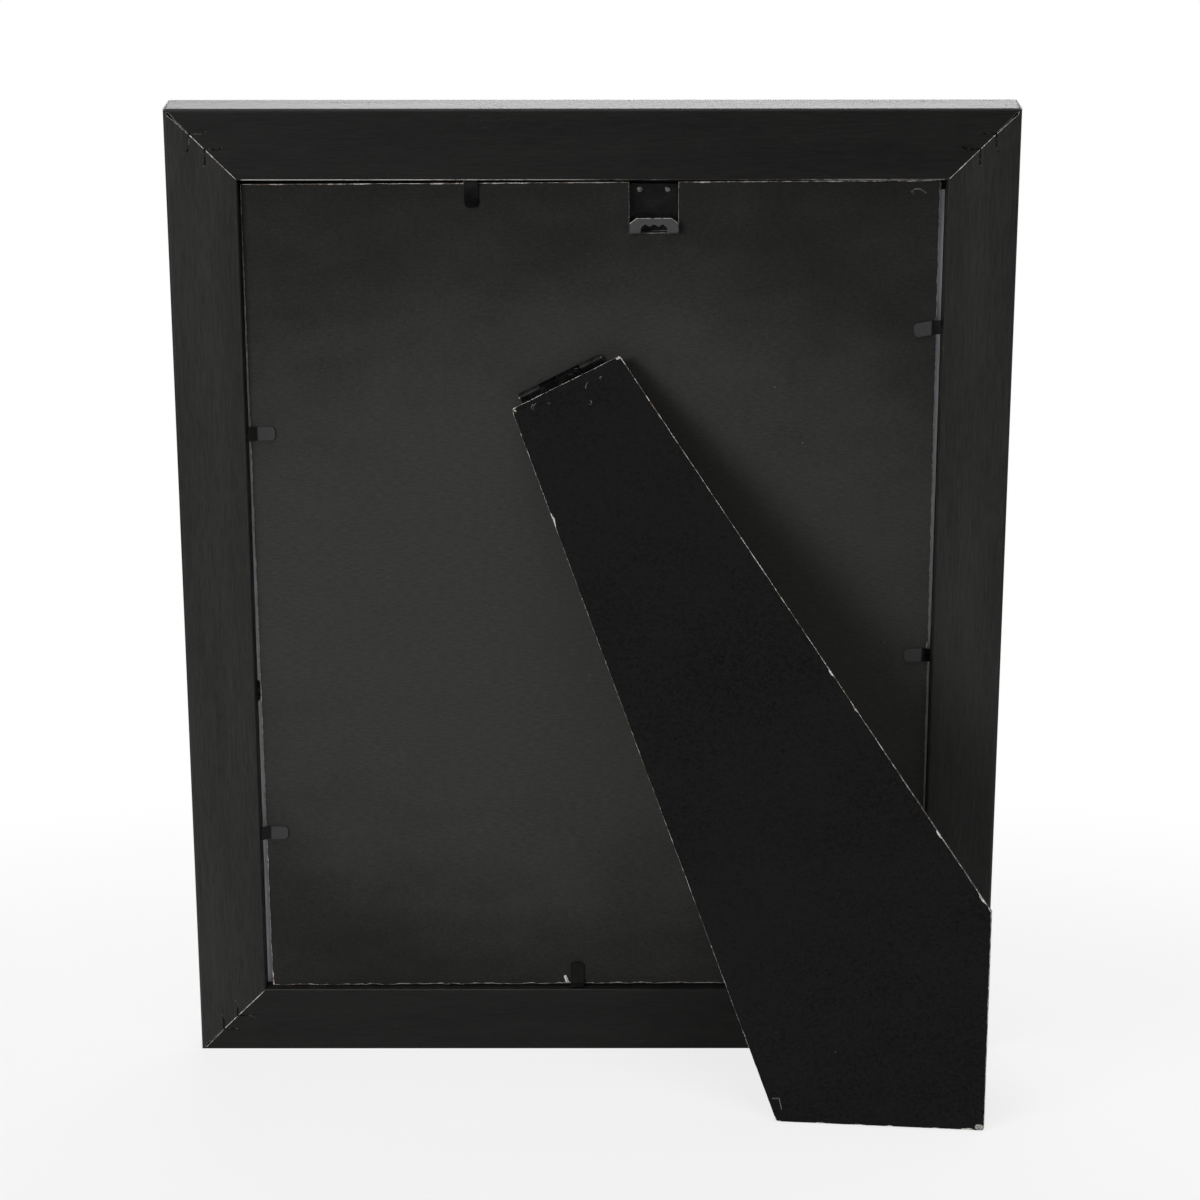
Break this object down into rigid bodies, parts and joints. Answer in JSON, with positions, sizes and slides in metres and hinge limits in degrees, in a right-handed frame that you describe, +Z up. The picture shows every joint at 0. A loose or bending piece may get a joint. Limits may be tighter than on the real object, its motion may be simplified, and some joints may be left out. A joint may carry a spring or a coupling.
{
  "type": "easel back photo frame",
  "caption": "Black mitred wooden photo frame with glass, back board held by bendable tabs, saw-tooth hanger and a hinged easel leg for portrait or landscape.",
  "frame": {"origin": "centre of the bounding box at the table's level, with the frame standing in portrait on its leg", "axes": "+Z up, -Y towards the viewer of the picture, +Y backwards where the leg stands, +X to the right of someone facing the picture"},
  "size_m": [0.2464, 0.106, 0.2946],
  "materials": {
    "painted_wood": "satin black paint over open-grained wood",
    "black_board": "black coated fibreboard with bare worn edges",
    "black_metal": "black lacquered steel strip",
    "nail_steel": "dark steel nail edges",
    "clear_glass": "clear float glass",
    "pale_sheet": "plain pale paper"
  },
  "bodies": {
    "frame_and_back": {"top_rail": "painted_wood", "bottom_rail": "painted_wood", "left_stile": "painted_wood", "right_stile": "painted_wood", "corner_v_nails": "nail_steel", "tab_anchors": "black_metal", "glazing": "clear_glass", "insert_sheet": "pale_sheet", "back_board": "black_board", "hanger": "black_metal", "board_hinge_leaf": "black_metal", "board_hinge_rivets": "black_metal", "hinge_pin": "black_metal"},
    "leg": {"leg_hinge_leaf": "black_metal", "leg_hinge_rivets": "black_metal", "easel_leg": "black_board"},
    "tab_top_end": {"tab_top": "black_metal"},
    "tab_bottom_end": {"tab_bottom": "black_metal"},
    "tab_right_upper_end": {"tab_right_upper": "black_metal"},
    "tab_right_lower_end": {"tab_right_lower": "black_metal"},
    "tab_left_upper_end": {"tab_left_upper": "black_metal"},
    "tab_left_lower_end": {"tab_left_lower": "black_metal"}
  },
  "joints": [
    {"name": "leg_hinge", "type": "hinge", "parent": "frame_and_back", "child": "leg", "pos_m": [0.0095, 0.00286, 0.21366], "axis": [-0.891, 0.0866, 0.4456], "range_deg": [0, 19.6]},
    {"name": "tab_top_bend", "type": "hinge", "parent": "frame_and_back", "child": "tab_top_end", "pos_m": [0.03526, 0.01414, 0.27116], "axis": [0.9994, -0.0067, -0.0343], "range_deg": [0, 80]},
    {"name": "tab_bottom_bend", "type": "hinge", "parent": "frame_and_back", "child": "tab_bottom_end", "pos_m": [0.00513, -0.03451, 0.02085], "axis": [-1, 0, 0], "range_deg": [0, 80]},
    {"name": "tab_right_upper_bend", "type": "hinge", "parent": "frame_and_back", "child": "tab_right_upper_end", "pos_m": [0.102, -0.00032, 0.19677], "axis": [0, -0.1908, -0.9816], "range_deg": [0, 80]},
    {"name": "tab_right_lower_bend", "type": "hinge", "parent": "frame_and_back", "child": "tab_right_lower_end", "pos_m": [0.102, -0.02465, 0.07162], "axis": [0.0175, -0.1908, -0.9815], "range_deg": [0, 80]},
    {"name": "tab_left_upper_bend", "type": "hinge", "parent": "frame_and_back", "child": "tab_left_upper_end", "pos_m": [-0.102, 0.00588, 0.22868], "axis": [0.1736, 0.1879, 0.9667], "range_deg": [0, 80]},
    {"name": "tab_left_lower_bend", "type": "hinge", "parent": "frame_and_back", "child": "tab_left_lower_end", "pos_m": [-0.102, -0.01356, 0.12867], "axis": [0.0698, 0.1903, 0.9792], "range_deg": [0, 80]}
  ]
}
